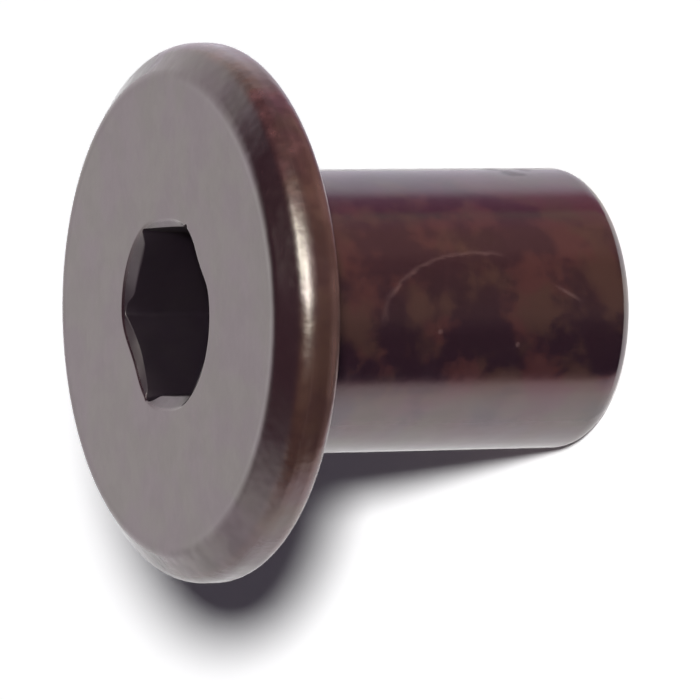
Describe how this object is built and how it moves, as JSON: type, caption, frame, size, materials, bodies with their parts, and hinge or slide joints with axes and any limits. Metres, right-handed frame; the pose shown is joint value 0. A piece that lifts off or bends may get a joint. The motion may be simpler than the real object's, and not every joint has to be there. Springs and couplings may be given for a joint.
{
  "type": "joint connector cap nut",
  "caption": "Joint connector cap nut: wide flat bevelled head with a hexagon key socket on a smooth barrel threaded from its open end, for clamping furniture panels with a connector bolt.",
  "frame": {"origin": "centre of the barrel's open end face", "axes": "+Z along the nut's axis, from the open end up through the head; a flat of the hexagon socket faces +X and another -X"},
  "size_m": [0.017, 0.017, 0.0145],
  "materials": {
    "bronzed_steel": "antique bronze plating, dark brown with a soft gloss"
  },
  "bodies": {
    "root": {"cap_nut": "bronzed_steel"}
  },
  "joints": []
}
